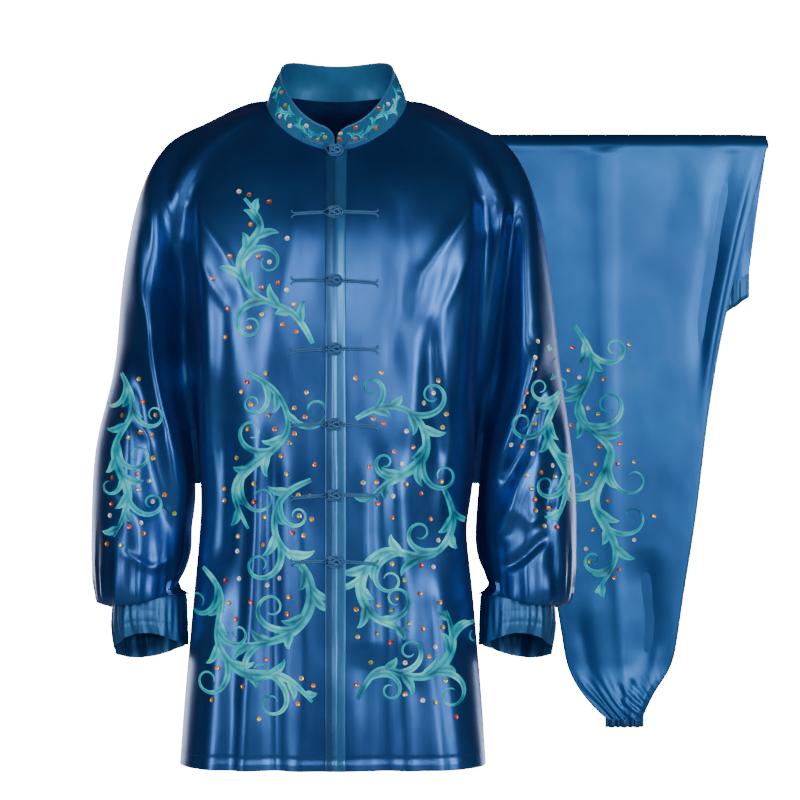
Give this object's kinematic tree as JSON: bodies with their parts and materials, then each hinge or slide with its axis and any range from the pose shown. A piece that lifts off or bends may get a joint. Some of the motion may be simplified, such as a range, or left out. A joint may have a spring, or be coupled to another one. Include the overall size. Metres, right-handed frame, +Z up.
{
  "type": "tai chi uniform",
  "caption": "Loose satin jacket with stand collar, frog fastenings and full sleeves, held as worn, with its trousers folded over a plain rod behind.",
  "frame": {"origin": "middle of the neck opening at shoulder height, where the wearer carries the jacket", "axes": "+Z up; the jacket's front faces -Y; +X towards the wearer's left"},
  "size_m": [0.8292, 0.5096, 0.8123],
  "materials": {
    "blue_satin": "glossy blue satin",
    "satin_cord": "rolled satin cord",
    "steel_rod": "plain round rod"
  },
  "bodies": {
    "root": {"front_left": "blue_satin", "front_right": "blue_satin", "back_left": "blue_satin", "back_right": "blue_satin", "cuff_left": "blue_satin", "cuff_right": "blue_satin", "front_band_left": "blue_satin", "front_band_right": "blue_satin", "collar": "blue_satin", "trouser_leg_near": "blue_satin", "trouser_leg_far": "blue_satin", "waistband": "blue_satin", "ankle_hem_near": "blue_satin", "ankle_hem_far": "blue_satin", "frog_1_loop": "satin_cord", "frog_1_tail": "satin_cord", "frog_1_knot": "satin_cord", "frog_2_loop": "satin_cord", "frog_2_tail": "satin_cord", "frog_2_knot": "satin_cord", "frog_3_loop": "satin_cord", "frog_3_tail": "satin_cord", "frog_3_knot": "satin_cord", "frog_4_loop": "satin_cord", "frog_4_tail": "satin_cord", "frog_4_knot": "satin_cord", "frog_5_loop": "satin_cord", "frog_5_tail": "satin_cord", "frog_5_knot": "satin_cord", "frog_6_loop": "satin_cord", "frog_6_tail": "satin_cord", "frog_6_knot": "satin_cord", "frog_7_loop": "satin_cord", "frog_7_tail": "satin_cord", "frog_7_knot": "satin_cord", "rod": "steel_rod"}
  },
  "joints": []
}
